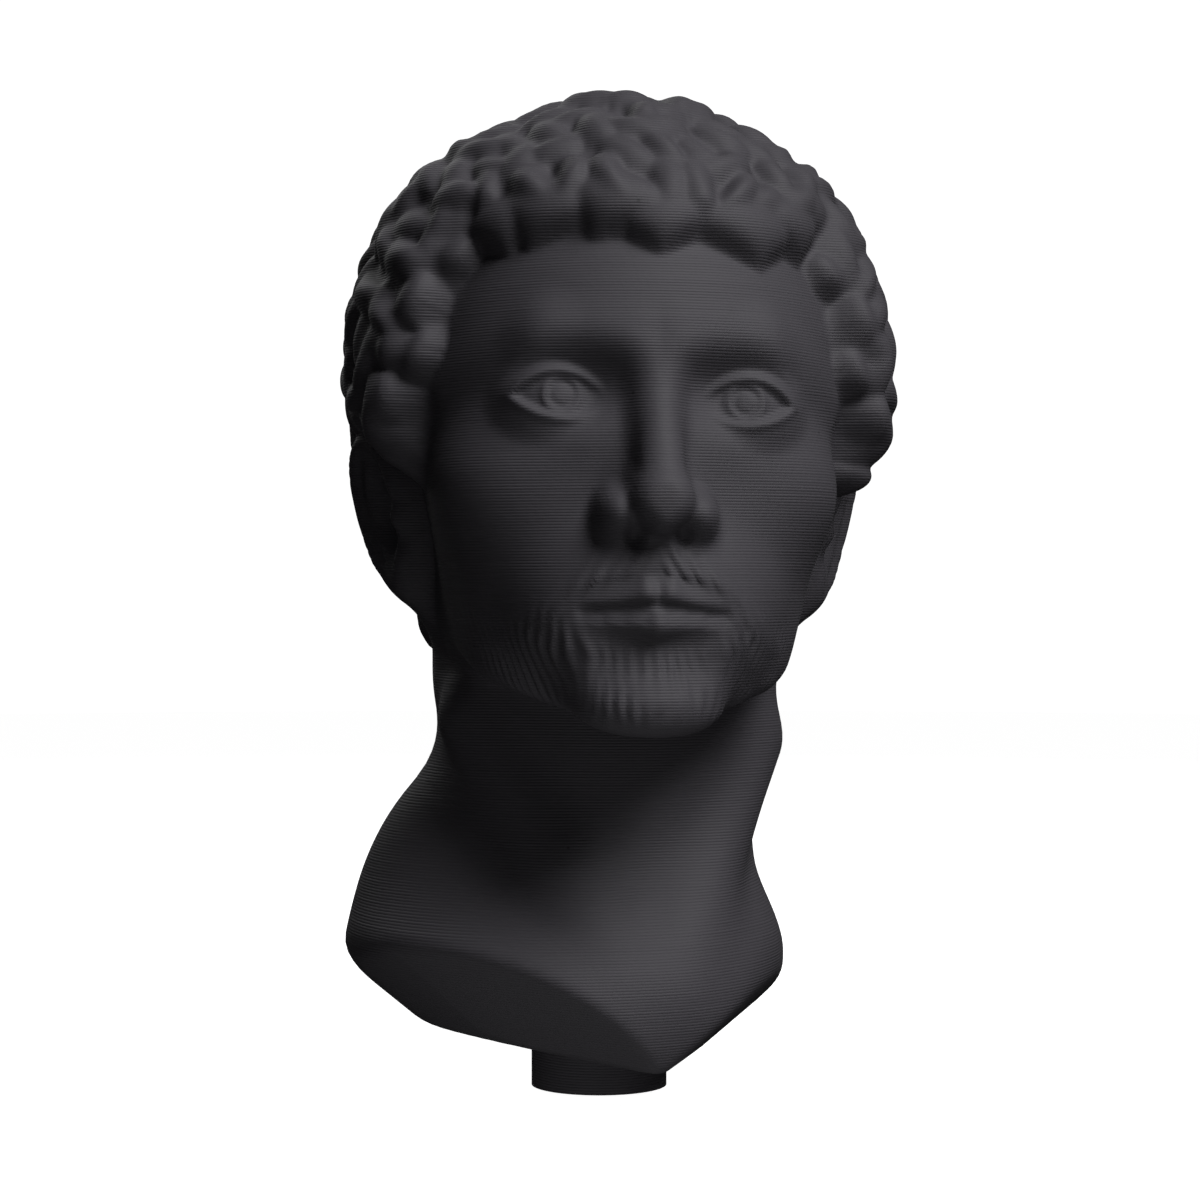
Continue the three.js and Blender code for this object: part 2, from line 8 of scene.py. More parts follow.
import bpy
import numpy as np
from bpy.props import FloatProperty, FloatVectorProperty, IntProperty, PointerProperty
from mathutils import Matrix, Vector


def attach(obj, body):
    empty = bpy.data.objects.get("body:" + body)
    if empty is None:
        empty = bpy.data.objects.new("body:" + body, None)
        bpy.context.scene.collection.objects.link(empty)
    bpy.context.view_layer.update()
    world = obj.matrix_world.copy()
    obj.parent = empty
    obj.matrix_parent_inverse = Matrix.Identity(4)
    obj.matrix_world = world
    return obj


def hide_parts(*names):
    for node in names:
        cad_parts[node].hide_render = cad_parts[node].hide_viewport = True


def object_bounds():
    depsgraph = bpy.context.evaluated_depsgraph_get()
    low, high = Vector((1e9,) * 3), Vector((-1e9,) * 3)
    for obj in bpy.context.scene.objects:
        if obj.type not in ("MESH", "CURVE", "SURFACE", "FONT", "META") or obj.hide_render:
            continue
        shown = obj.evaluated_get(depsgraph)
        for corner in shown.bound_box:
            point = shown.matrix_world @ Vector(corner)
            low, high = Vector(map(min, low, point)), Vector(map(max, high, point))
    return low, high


bl_info = {
    "name": "Printed portrait bust",
    "version": (1, 0, 0),
    "blender": (4, 5, 0),
    "location": "View3D > Sidebar > Bust",
    "description": "Makes a portrait bust printed in charcoal plastic, and the studio it stands in",
    "category": "Add Mesh",
}

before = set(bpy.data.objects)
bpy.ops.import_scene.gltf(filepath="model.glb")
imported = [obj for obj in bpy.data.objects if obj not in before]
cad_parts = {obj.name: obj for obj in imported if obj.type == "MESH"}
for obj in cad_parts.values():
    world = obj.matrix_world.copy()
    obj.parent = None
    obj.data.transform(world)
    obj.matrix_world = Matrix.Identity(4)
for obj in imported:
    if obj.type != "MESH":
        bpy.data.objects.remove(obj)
CAD_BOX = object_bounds()
MM = 0.001
DEGREE = math.pi / 180

# Sizes of the whole, in millimetres, and the pose of the head
FOOT_RADIUS = 7.5
FOOT_HEIGHT = 9.0
EYE_LINE = np.array([1.6, -2.5, 70.5])
HEAD_PITCH = -8 * DEGREE
HEAD_ROLL = 2 * DEGREE
SKULL_CENTRE = np.array([0, 2.5, 9.5])
SKULL_RADII = np.array([24.5, 30, 25.5])
NECK_TOP = (1.2, 4, 52)
NECK_BASE = (1.2, 3, 14)
NECK_DEPTH = 17
NECK_WIDEST = 19.4

# Eyes, mouth and ears in the head's own frame, whose origin is the middle of the eye line
EYE_CENTRE = (9.7, -20, 0)
EYE_RADIUS = 6
EYE_HALF_WIDTH = 4.4
EYE_UPPER = 2.1
EYE_LOWER = 1.7
IRIS_RADIUS = 1.85
EAR_CENTRE = (24.4, 5, -7)
EAR_HALF_WIDTH = 5.2
EAR_HALF_HEIGHT = 9.5
EAR_TURN = 19 * DEGREE
EAR_SLOPE = 10 * DEGREE
EAR_LEAN = 14 * DEGREE

# Locks of hair
LOCK_SPACING = 4.9
LOCK_BALL = 29
LOCK_RINGS = 20
RING_STEP = 8.4 * DEGREE
FIRST_RING = 7 * DEGREE
CROWN = np.array([0.06, 0.42, 0.905]) / np.linalg.norm([0.06, 0.42, 0.905])
DEGREE_ON_SKULL = 0.44

# Points of the rough net of rays that comes before the full one
ROUGH_COLUMNS = 120
ROUGH_ROWS = 110
# Shares of the rows at which the head's rays and the neck's rays end, and where the rays start
HEAD_SHARE = 0.66
NECK_SHARE = 0.84
HEAD_RAY_START = np.array([0, 2.5, 3.5])
CHEST_RAY_HEIGHT = 17
# The search along a ray: where it starts, when it stops, and how it looks for parts further out
FAR_AWAY = 62
CLOSE_ENOUGH = 0.004
SEARCH_REACH = 1.2
SEARCH_STEPS = 16
HALVINGS = 6
# Passes over points that stand off their neighbours by more than a little, and the hair's fillet
EVENING_PASSES = 2
EVEN_ENOUGH = 0.06
HAIR_FILLET = 0.5
# How far inside the CAD model's box the bending back starts
EASE = 0.8 * MM


# Small helpers
def ramp(low, high, x):
    """Smooth step: t = (x - low) / (high - low) held between 0 and 1, then t^2 (3 - 2 t)."""
    t = np.clip((x - low) / (high - low), 0, 1)
    return t * t * (3 - 2 * t)


def bump(x, width):
    """Bell curve exp(-(x / width)^2)."""
    return np.exp(-(x / width) ** 2)


def blend_min(a, b, k):
    """Smaller of two distances with a fillet of size k between them."""
    h = np.clip(0.5 + 0.5 * (b - a) / k, 0, 1)
    return b + (a - b) * h - k * h * (1 - h)


def blend_max(a, b, k):
    """Larger of two distances, rounded off by k."""
    return -blend_min(-a, -b, k)


def heap(a, b, k):
    """Larger of two heights, rounded off by k, with nothing added where both are nought."""
    return blend_max(a, b, k * ramp(0, 0.7, np.maximum(a, b)) + 1e-6)


def scatter(i, k=0):
    """Even scatter between 0 and 1 from a count: the fraction of a large sine."""
    x = math.sin((i + 1) * 12.9898 + k * 78.233) * 43758.5453
    return x - math.floor(x)


def unit(v):
    return v / np.linalg.norm(v)


# Distances to simple forms, negative inside, at points in an array of three rows
def ball(centre, radii):
    """Ellipsoid: with q the point over the radii, |q| (|q| - 1) / |q / radii|."""
    centre = np.array(centre, float)[:, None]
    radii = np.array(radii, float)[:, None]

    def distance(p):
        q = (p - centre) / radii
        near = np.sqrt((q * q).sum(0))
        slope = np.sqrt(((q / radii) ** 2).sum(0))
        return near * (near - 1) / np.maximum(slope, 1e-9)
    return distance


def rod(start, end, start_radius, end_radius):
    """Round rod from start to end: distance to the line between them, less a radius that changes evenly."""
    start = np.array(start, float)[:, None]
    along = np.array(end, float)[:, None] - start
    square = (along * along).sum()

    def distance(p):
        t = np.clip(((p - start) * along).sum(0) / square, 0, 1)
        radius = start_radius + (end_radius - start_radius) * t
        return np.sqrt(((p - start - along * t) ** 2).sum(0)) - radius
    return distance


def below(point, normal):
    """Half space under a plane: the height over the plane through point."""
    point = np.array(point, float)[:, None]
    normal = unit(np.array(normal, float))[:, None]
    return lambda p: ((p - point) * normal).sum(0)


def build(steps, p, d):
    """Joins, cuts and trims the distance d by each step's form in turn, each with its own fillet."""
    for how, blend, shape in steps:
        if how == "join":
            d = blend_min(d, shape(p), blend)
        elif how == "cut":
            d = blend_max(d, -shape(p), blend)
        else:
            d = blend_max(d, shape(p), blend)
    return d


skull = ball(SKULL_CENTRE, SKULL_RADII)
jaw = ball([0, -10.5, -20.5], [15.6, 17, 14.4])
HEAD_FORMS = [
    ("join", 5, ball([0, -7, 5], [21.4, 21.4, 19])),
    ("join", 6, ball([0, -7.5, -9], [20.6, 19.8, 20])),
]
JAW_FORMS = [
    ("join", 6, rod([11.2, -9, -24], [13.8, 3, -17], 4.4, 4.2)),
]
CHEEK_AND_BROW_FORMS = [
    ("join", 6, ball([13.4, -15.6, -7.4], [6.6, 6.6, 5.4])),
    ("join", 4.5, ball([0, -23.4, -30.2], [7.4, 5.8, 5.2])),
    ("trim", 3, below([0, -27, -35.4], [0, 0.419, -0.908])),
    ("join", 4.5, rod([2.5, -25.9, 5], [10.5, -23.6, 6.4], 1.7, 1.5)),
    ("join", 4.5, rod([10.5, -23.6, 6.4], [19, -14, 3.4], 1.5, 1)),
]
NOSE_FORMS = [
    ("join", 3, rod([0, -21.6, 1.5], [0, -26, -12], 3, 4.4)),
    ("cut", 3, ball([9.2, -31.4, 0.8], [7.4, 6.4, 4.4])),
    ("join", 2.2, rod([0, -26, 4.6], [0, -31.9, -10.6], 1.9, 2.5)),
    ("join", 1.6, ball([0, -32, -11.4], [3.1, 3.1, 2.7])),
    ("join", 0.9, ball([4, -27.3, -12.3], [2.4, 4.8, 2.6])),
    ("join", 0.8, rod([0, -33, -13.1], [0, -28.6, -14.6], 1.1, 1.3)),
    ("cut", 0.6, ball([2.5, -30, -15.2], [1.1, 2.1, 1.3])),
]
MUZZLE_FORMS = [
    ("join", 5, ball([0, -20.8, -20.8], [11.6, 8.4, 7.6])),
    ("cut", 1.2, rod([0, -30.9, -15.9], [0, -31.1, -18.6], 0.9, 1.1)),
    ("join", 0.8, rod([1.1, -29.6, -20.4], [6.6, -27.2, -22], 1.4, 0.6)),
    ("join", 0.6, rod([0, -29.3, -23.7], [5.4, -27.8, -22.9], 1.7, 0.8)),
    ("cut", 0.5, rod([0, -31.1, -21.95], [7.2, -28.1, -22.3], 0.8, 0.7)),
]
CHIN_CREASE = [
    ("cut", 3, rod([0, -31.2, -27.3], [4.6, -29.8, -27], 2.1, 1.8)),
]
CHEST_FORMS = [
    ("join", 5, ball([-4.5, 3.5, 13], [23.4, 18, 28])),
    ("join", 2.5, ball([6.3, 2.5, 14.5], [14.4, 17, 12])),
    ("join", 8, ball([-5.5, -7, 10], [22.5, 17, 12.5])),
    ("join", 5, rod([-15, -5, 41], [0.5, -17.6, 13], 2.8, 2.2)),
    ("join", 5, rod([16.8, -1.5, 38], [4.8, -17.6, 13], 2.8, 2.2)),
    ("trim", 0.8, below([-6.9, -22, 12.7], [-0.5, -0.55, -0.67])),
    ("trim", 3, below([-28.1, 0.5, 13.8], [-0.62, -0.3, -0.72])),
    ("trim", 0.8, below([6.8, -21.3, 7], [0.62, -0.25, -0.74])),
    ("trim", 3, below([19.6, -6.5, 11.5], [0.85, -0.4, -0.33])),
    ("trim", 5, below([0, 17, 12], [0, 0.62, -0.78])),
    ("trim", 3, below([-22.8, 4, 9.4], [-0.6, 0.2, -0.75])),
    ("trim", 0.8, below([0, 0, 4.6], [-0.12, 0, -1])),
]


def almond(x, z):
    """Distance in front view to the opening between the lids, where two circles overlap."""
    across = x - EYE_CENTRE[0] + 0.1
    up = z - across * 0.045
    square = EYE_HALF_WIDTH ** 2
    upper_radius = (square + EYE_UPPER ** 2) / (2 * EYE_UPPER)
    lower_radius = (square + EYE_LOWER ** 2) / (2 * EYE_LOWER)
    upper = np.hypot(across, up - EYE_UPPER + upper_radius) - upper_radius
    lower = np.hypot(across, up + EYE_LOWER - lower_radius) - lower_radius
    return np.maximum(upper, lower)


def eye(p):
    """Eyeball with the lids as a thicker layer round the opening, and a raised ring for the iris."""
    outside = almond(p[0], p[2])
    lid = bpy.context.scene.bust_sizes.lid_thickness / MM * ramp(-0.4, 0.62, outside)
    rim = 0.22 * bump(outside - 0.7, 0.45)
    fold = 0.35 * bump(outside - 1.8, 0.35) * ramp(0.3, 1.2, p[2]) * ramp(15.5, 13, p[0])
    from_iris = np.hypot(p[0] - EYE_CENTRE[0] + 0.2, p[2] - 0.3)
    iris = 0.3 * bump(from_iris - IRIS_RADIUS, 0.3) - 0.16 * bump(from_iris - 1.3, 0.3)
    radius = EYE_RADIUS + lid + rim - fold + iris * ramp(0.1, -0.3, outside)
    return np.sqrt(sum((p[i] - EYE_CENTRE[i]) ** 2 for i in range(3))) - radius


def head(p):
    """One half of the head without its ear: skull, jaw, cheek, brow, nose, mouth and eye in turn."""
    d = build(HEAD_FORMS, p, skull(p))
    d = blend_min(d, build(JAW_FORMS, p, jaw(p)), 6)
    d = build(CHEEK_AND_BROW_FORMS, p, d)
    d = build(NOSE_FORMS, p, d)
    d = build(MUZZLE_FORMS, p, d)
    d = build(CHIN_CREASE, p, d)
    return blend_min(d, eye(p), 0.9)


def ear(p):
    """The ear as a height over its own plane in an egg-shaped outline: rim, inner fold, hollow and lobe."""
    x, y, z = (p[i] - EAR_CENTRE[i] for i in range(3))
    slope_cos, slope_sin = math.cos(EAR_SLOPE), math.sin(EAR_SLOPE)
    y, z = y * slope_cos - z * slope_sin, y * slope_sin + z * slope_cos
    out = x * math.cos(EAR_TURN) - y * math.sin(EAR_TURN)
    back = y * math.cos(EAR_TURN) + x * math.sin(EAR_TURN)
    up = z * math.cos(EAR_LEAN) + out * math.sin(EAR_LEAN)
    depth = out * math.cos(EAR_LEAN) - z * math.sin(EAR_LEAN)
    across = (back + 0.3) / np.clip(1 + 0.026 * up, 0.74, 1.25)
    around = np.hypot(across / EAR_HALF_WIDTH, up / EAR_HALF_HEIGHT)
    lobe = ramp(-4.5, -7, up)
    front = ramp(-2.2, -3.6, across) * ramp(1.5, -1, up)
    height = 0.9 + 0.7 * lobe + 1.6 * bump(around - 0.84, 0.18) * (1 - 0.75 * lobe) * (1 - 0.8 * front)
    inner = np.hypot((across + 0.5) / 2.5, (up - 0.2) / 4.9)
    height += 1.05 * bump(inner - 1, 0.3) * ramp(-1.2, 0.6, across)
    height -= 1.1 * np.exp(-((across + 0.9) / 1.9) ** 2 - ((up + 1.2) / 3) ** 2)
    height += 1.3 * np.exp(-((across + 3.7) / 1.2) ** 2 - ((up + 1.8) / 1.7) ** 2)
    side = (around - 1) * 5.4 - 0.4 * np.clip(2.2 - depth, 0, 9)
    return blend_max((depth - height) * 0.72, side, 0.9)


def neck_and_chest(p):
    """A neck of elliptical section that widens upwards, and the chest piece cut to a pointed lower edge."""
    t = np.clip((p[2] - NECK_BASE[2]) / (NECK_TOP[2] - NECK_BASE[2]), -0.6, 1.3)
    centre_x = NECK_BASE[0] + (NECK_TOP[0] - NECK_BASE[0]) * t
    centre_y = NECK_BASE[1] + (NECK_TOP[1] - NECK_BASE[1]) * t
    half_width = blend_min(15.4 - 4.4 * t + 15 * t * t, NECK_WIDEST, 3)
    half_depth = NECK_DEPTH + t
    around = np.hypot((p[0] - centre_x) / half_width, (p[1] - centre_y) / half_depth)
    neck = blend_max((around - 1) * np.minimum(half_width, half_depth), p[2] - 62, 4)
    return build(CHEST_FORMS, p, neck)


def turn_matrix(pitch, roll):
    """Turn about X by pitch, then about Y by roll."""
    cx, sx, cy, sy = math.cos(pitch), math.sin(pitch), math.cos(roll), math.sin(roll)
    about_x = np.array([[1, 0, 0], [0, cx, -sx], [0, sx, cx]])
    about_y = np.array([[cy, 0, sy], [0, 1, 0], [-sy, 0, cy]])
    return about_y @ about_x


HEAD_TURN = turn_matrix(HEAD_PITCH, HEAD_ROLL)


def to_head(p):
    return HEAD_TURN.T @ (p - EYE_LINE[:, None])


def bare_form(p, with_ears=True):
    """Distance to the print without hair and beard."""
    local = to_head(p)
    local[0] = np.abs(local[0])
    d = head(local)
    if with_ears:
        d = blend_min(d, ear(local), 0.9)
    d = blend_min(d, neck_and_chest(p), 4.5)
    foot = np.maximum(np.hypot(p[0], p[1]) - FOOT_RADIUS, p[2] - FOOT_HEIGHT)
    d = blend_min(d, foot, 0.8)
    return np.maximum(d, -p[2])


# Hairline: its height against the angle from the face in degrees, both sides alike
HAIRLINE = np.array([
    (0, 16.4), (30, 16.6), (40, 17), (45, 14.5), (50, 9.5), (55, 3.5), (61, -2.5), (66, -6), (74, -7.5),
    (80, -5), (86, -3), (96, -2), (106, -6), (115, -15), (130, -21), (180, -23),
]).T
# Large locks over the forehead: angle and height of the tip, half width, lean and length
FRINGE = [
    (-63, -1.2, 2.1, -0.2, 7), (-57, 2.5, 1.9, -0.5, 7), (-53.5, 6.5, 2.2, -0.1, 8),
    (-50, 12, 2.2, -0.6, 7),
    (-45, 17.2, 3.2, 0.45, 7), (-35, 14.8, 3.4, -0.35, 8.5), (-22, 15.4, 4.6, 0.35, 9),
    (-8, 15.6, 4.8, 0.2, 9), (4, 14.6, 4.2, 0.5, 8), (17, 14.2, 5.2, -0.4, 10),
    (31, 15.8, 4.2, -0.35, 9), (41, 17.8, 3.4, -0.25, 8), (50, 12, 2.2, 0.6, 7),
    (53.5, 6.5, 2.2, 0.1, 8), (57, 2.5, 1.9, 0.5, 7), (63, -1.2, 2.1, 0.2, 7),
]
# Share of a fringe lock's length on each side of its middle, and the rise of its tip over the listed height
FRINGE_HALF = 0.62
FRINGE_RISE = 1.2
# Cosines of the angles past which a lock of the rings and one of the fringe have no effect
RING_LOCK_REACH = 0.95
FRINGE_LOCK_REACH = 0.91


def angle_of(p):
    return np.abs(np.arctan2(p[0], -p[1])) / DEGREE


def inside_hairline(p):
    """How far a point lies inside the hairline: its height over the line, over the line's slope."""
    angle = angle_of(p)
    slope = (np.interp(angle + 4, *HAIRLINE) - np.interp(angle - 4, *HAIRLINE)) / (8 * DEGREE_ON_SKULL)
    return (p[2] - np.interp(angle, *HAIRLINE)) / np.hypot(1, slope)


def hair_thickness(angle, z):
    """Thickness of the hair under its locks: fuller at the sides, thinner towards the nape."""
    fuller = 1 + 0.75 * ramp(32, 70, angle) * ramp(33, 22, z) + 0.2 * bump(z - 33.5, 3)
    thickness = bpy.context.scene.bust_sizes.hair_thickness / MM
    return thickness * fuller * (0.35 + 0.65 * ramp(-24, 2, z))


def edge_reach(angle):
    """How far in from the hairline the hair is at full thickness: short at the brow, long at the sides."""
    return 2.8 + 2.6 * ramp(36, 52, angle)


def skull_point(direction):
    return SKULL_CENTRE + SKULL_RADII * direction


def direction_at(angle, height):
    """Direction whose point on the skull has this angle from the face and this height."""
    up = (height - SKULL_CENTRE[2]) / SKULL_RADII[2]
    angle = angle * DEGREE
    flat = np.array([math.sin(angle) / SKULL_RADII[0], -math.cos(angle) / SKULL_RADII[1], 0])
    return unit(flat) * math.sqrt(max(1 - up * up, 0.01)) + np.array([0, 0, up])


def run_at(direction, lean):
    """Direction down the skull's surface, turned sideways by lean."""
    down = unit(np.array([0, 0, -1.0]) + direction * direction[2])
    return down * math.cos(lean) + np.cross(direction, down) * math.sin(lean)


def crown_locks():
    """Rings of locks round the crown, each turned, bent and sized by its own scatter."""
    first = unit(np.cross(CROWN, [1, 0, 0]))
    second = np.cross(CROWN, first)
    locks = []
    count = 0
    for ring in range(LOCK_RINGS):
        from_crown = FIRST_RING + ring * RING_STEP
        around = max(5, round(2 * math.pi * math.sin(from_crown) * LOCK_BALL / LOCK_SPACING))
        for j in range(around):
            count += 1
            turn = 2 * math.pi * (j + 0.5 * (ring % 2) + 0.5 * (scatter(count) - 0.5)) / around
            tilt = from_crown + (scatter(count, 1) - 0.5) * 0.07
            out = first * math.cos(turn) + second * math.sin(turn)
            at = CROWN * math.cos(tilt) + out * math.sin(tilt)
            away = out * math.cos(tilt) - CROWN * math.sin(tilt)
            swing = (scatter(count, 2) - 0.5) * 0.9 + (0.3 if (j + ring) % 2 else -0.3)
            run = away * math.cos(swing) + np.cross(at, away) * math.sin(swing)
            half = 3.9 + 1.6 * scatter(count, 3)
            sway = (1 if scatter(count, 5) > 0.5 else -1) * (0.5 + 0.5 * scatter(count, 6))
            width = 2 + 0.6 * scatter(count, 4)
            size = 0.7 + 0.45 * scatter(count, 7)
            if stays_in_hair(at, run, half):
                locks.append((at, run, half, width, sway, size))
    return locks


def stays_in_hair(at, run, half):
    """Whether a ring's lock lies far enough inside the hairline, and behind the fringe's own locks."""
    ends = (at, at + run * half / LOCK_BALL, at - run * half / LOCK_BALL)
    middle_in, tip_in, tail_in = (inside_hairline(skull_point(v)) for v in ends)
    if at[1] < -0.6 and tip_in < 1.5 and angle_of(skull_point(at)) < 45:
        return False
    return middle_in > 2 and tip_in > 0.4 and tail_in > 1


def fringe_locks():
    """Locks whose tips lie over the forehead."""
    locks = []
    for angle, height, width, lean, length in FRINGE:
        tip = direction_at(angle, height + FRINGE_RISE)
        run = run_at(tip, lean)
        at = unit(tip - run * length * FRINGE_HALF / LOCK_BALL)
        run = unit(run - at * (run @ at))
        locks.append((at, run, length * FRINGE_HALF, width, 0.35 * np.sign(lean), 0.9))
    return locks


def lock_profile(direction, lock):
    """Height of a lock from 0 to 1: rounded across, along a wavy line, from thin tail to round tip."""
    at, run, half, width, sway, _ = lock
    along = LOCK_BALL * (direction @ run)
    t = np.clip(along / half, -1.3, 1.3)
    across = LOCK_BALL * (direction @ np.cross(at, run)) + sway * width * (np.cos(2.1 * t + 0.5) - 0.6)
    spread = width * (0.5 + 0.65 * ramp(-1, 0.3, t))
    body = (1 - np.clip(across / spread, -1, 1) ** 2) ** 0.7
    end = np.clip(1 - (np.maximum(t - 0.3, 0) / 0.7) ** 2, 0, 1) ** 0.7 * ramp(-1.08, -0.2, t)
    return body * end * (0.2 + 0.8 * ramp(-1, 0.5, t))


def hair(p):
    """Thickness of the hair over the skin: a cap, the highest lock on it everywhere, and the fringe."""
    lock_height = bpy.context.scene.bust_sizes.lock_height / MM
    inside = inside_hairline(p)
    depth = hair_thickness(angle_of(p), p[2]) * ramp(0, edge_reach(angle_of(p)), inside)
    near_hair = np.where(inside > -5)[0]
    direction = (p[:, near_hair] - SKULL_CENTRE[:, None]) / SKULL_RADII[:, None]
    direction = (direction / np.sqrt((direction ** 2).sum(0))).T
    pile = np.zeros(len(near_hair))
    for lock in crown_locks():
        near = np.where(direction @ lock[0] > RING_LOCK_REACH)[0]
        pile[near] = heap(pile[near], lock_height * lock[5] * lock_profile(direction[near], lock), 0.3)
    whole = depth[near_hair] + pile * ramp(-0.4, 1.8, inside[near_hair])
    fringe = np.zeros(len(near_hair))
    for lock in fringe_locks():
        near = np.where(direction @ lock[0] > FRINGE_LOCK_REACH)[0]
        profile = lock_profile(direction[near], lock)
        root = skull_point(lock[0])
        thickness = hair_thickness(angle_of(root), root[2]) * ramp(-1.5, 6, inside_hairline(root))
        body = thickness * (1 - (1 - profile) ** 3) + lock_height * lock[5] * profile
        fringe[near] = heap(fringe[near], body, 0.35)
    depth[near_hair] = heap(whole, fringe, HAIR_FILLET)
    return depth


# Upper edge of the beard against the angle from the face
BEARD_EDGE = np.array([
    (0, -15.6), (12, -16.5), (18, -20), (30, -22.5), (45, -22), (60, -18), (70, -10), (80, -4), (90, -3),
]).T


def beard(p):
    """Thickness of the beard: an even coat with wavy strokes, which lean outwards in the moustache."""
    sizes = bpy.context.scene.bust_sizes
    angle = np.arctan2(p[0], -p[1]) / DEGREE
    side = np.abs(p[0])
    share = ramp(1.5, -2, p[2] - np.interp(np.abs(angle), *BEARD_EDGE)) * ramp(100, 82, np.abs(angle))
    share *= ramp(0.95, 1.4, np.hypot(side / 7.8, (p[2] + 22.2) / 3.3))
    share *= ramp(-7, -19, p[1] + 0.35 * (p[2] + 30)) * ramp(38, 33, -p[2])
    moustache = ramp(-25, -21.5, p[2]) * ramp(14, 9.5, side)
    bare_patch = np.exp(-((side - 6.8) / 3) ** 2 - ((p[2] + 28.4) / 2.6) ** 2)
    across = angle * 0.43 + 0.55 * np.sin(p[2] * 0.5 + 1.4 * np.sin(p[0] * 0.45))
    across += 0.2 * np.sin(p[2] * 1.3 + p[0] * 0.9)
    uneven = 0.7 + 0.3 * np.sin(angle * 0.31 + p[2] * 0.7)
    leaning = side + (p[2] + 16) * 0.62
    spacing = sizes.stroke_spacing / MM
    wave = np.cos(2 * np.pi * across / spacing) * (1 - moustache) * (1 - 0.8 * bare_patch)
    wave *= ramp(34, 30.5, -p[2])
    wave += 1.1 * np.cos(2 * np.pi * leaning / (spacing * 1.2)) * moustache * ramp(0.2, 1, side)
    coat = sizes.beard_thickness / MM
    return share * coat * (1 + 0.5 * moustache - 0.4 * bare_patch + 0.9 * wave * uneven)


# How the rays are spaced, where they start, and where they meet the form
def spaced(shares, low, high, density):
    """Values between low and high, closer together where the density is higher."""
    x = np.linspace(low, high, 2001)
    dense = density(x)
    total = np.concatenate([[0], np.cumsum((dense[1:] + dense[:-1]) / 2)])
    return np.interp(shares, total / total[-1], x)


def column_angles(count):
    """Angles round the object, closer together at the face and the ears."""
    def density(angle):
        degrees = np.abs(angle) / DEGREE
        return 1 + 1.1 * np.exp(-(degrees / 52) ** 4) + 0.45 * bump(degrees - 98, 22)
    return spaced((np.arange(count) + 0.5) / count, -np.pi, np.pi, density)


def row_shares(count):
    """Shares of the way from crown to foot, closer together over the face."""
    def density(share):
        return 0.9 + 1.2 * np.exp(-((share - 0.4) / 0.2) ** 4) + 0.2 * bump(share - 0.93, 0.08)
    return spaced((np.arange(count) + 1) / count, 0, 1, density)


def rays(angles, shares):
    """Start and direction of each ray: from the head's middle, then down the neck, then the chest."""
    share, angle = np.meshgrid(shares, angles, indexing="ij")
    head_start = HEAD_TURN @ HEAD_RAY_START + EYE_LINE
    last_dip = (56 + 10 * np.cos(angle)) * DEGREE
    neck_radius = 17.5 - 3.5 * np.cos(angle)
    foot_dip = math.atan2(CHEST_RAY_HEIGHT, FOOT_RADIUS)
    head_part = np.clip(share / HEAD_SHARE, 0, 1)
    neck_part = np.clip((share - HEAD_SHARE) / (NECK_SHARE - HEAD_SHARE), 0, 1)
    foot_part = np.clip((share - NECK_SHARE) / (1 - NECK_SHARE), 0, 1)
    fade = ramp(0, 1, neck_part)
    leave = head_start[2] - neck_radius * np.tan(last_dip)
    neck_rise = -last_dip * (1 - fade)
    height = leave + (CHEST_RAY_HEIGHT - leave) * neck_part - neck_radius * np.tan(neck_rise)
    in_head, in_neck = share <= HEAD_SHARE, share <= NECK_SHARE
    rise = np.where(in_neck, neck_rise, -foot_dip * foot_part)
    rise = np.where(in_head, np.pi / 2 - head_part * (np.pi / 2 + last_dip), rise)
    start_z = np.where(in_head, head_start[2], np.where(in_neck, height, CHEST_RAY_HEIGHT))
    start = np.stack([head_start[0] * (1 - fade), head_start[1] * (1 - fade), start_z])
    x, y, z = np.sin(angle) * np.cos(rise), -np.cos(angle) * np.cos(rise), np.sin(rise)
    pitch, roll = HEAD_PITCH * (1 - fade), HEAD_ROLL * (1 - fade)
    y, z = y * np.cos(pitch) - z * np.sin(pitch), y * np.sin(pitch) + z * np.cos(pitch)
    x, z = x * np.cos(roll) + z * np.sin(roll), z * np.cos(roll) - x * np.sin(roll)
    return start.reshape(3, -1), np.stack([x, y, z]).reshape(3, -1)


def meet(start, direction, distance, steps, pace, with_ears=True):
    """Walks along the rays by a share of the distance to the form until each ray meets it."""
    distance = distance.copy()
    left = np.arange(distance.size)
    for _ in range(steps):
        gap = bare_form(start[:, left] + direction[:, left] * distance[left], with_ears)
        distance[left] -= np.clip(gap * pace, -2, 4)
        left = left[np.abs(gap) > CLOSE_ENOUGH]
        if not len(left):
            break
    return distance


def outermost(start, direction, distance):
    """Steps inwards along each ray to the first point inside the form, then halves the last step."""
    step = 2 * SEARCH_REACH / SEARCH_STEPS
    inside = np.zeros(distance.size, bool)
    skin = distance + SEARCH_REACH
    for _ in range(SEARCH_STEPS):
        left = np.where(~inside)[0]
        inside[left] = bare_form(start[:, left] + direction[:, left] * skin[left]) < 0
        skin[~inside] -= step
    found = np.where(inside)[0]
    for _ in range(HALVINGS):
        step /= 2
        within = bare_form(start[:, found] + direction[:, found] * (skin[found] + step)) < 0
        skin[found] += np.where(within, step, 0)
    return np.where(inside, skin, distance)


def resampled(grid, angles, shares, new_angles, new_shares):
    """A grid of values carried to a finer grid by straight lines between its points."""
    around = np.concatenate([[angles[-1] - 2 * np.pi], angles, [angles[0] + 2 * np.pi]])
    wrapped = np.concatenate([grid[:, -1:], grid, grid[:, :1]], 1)
    wide = np.stack([np.interp(new_angles, around, row) for row in wrapped])
    return np.stack([np.interp(new_shares, shares, column) for column in wide.T], 1)


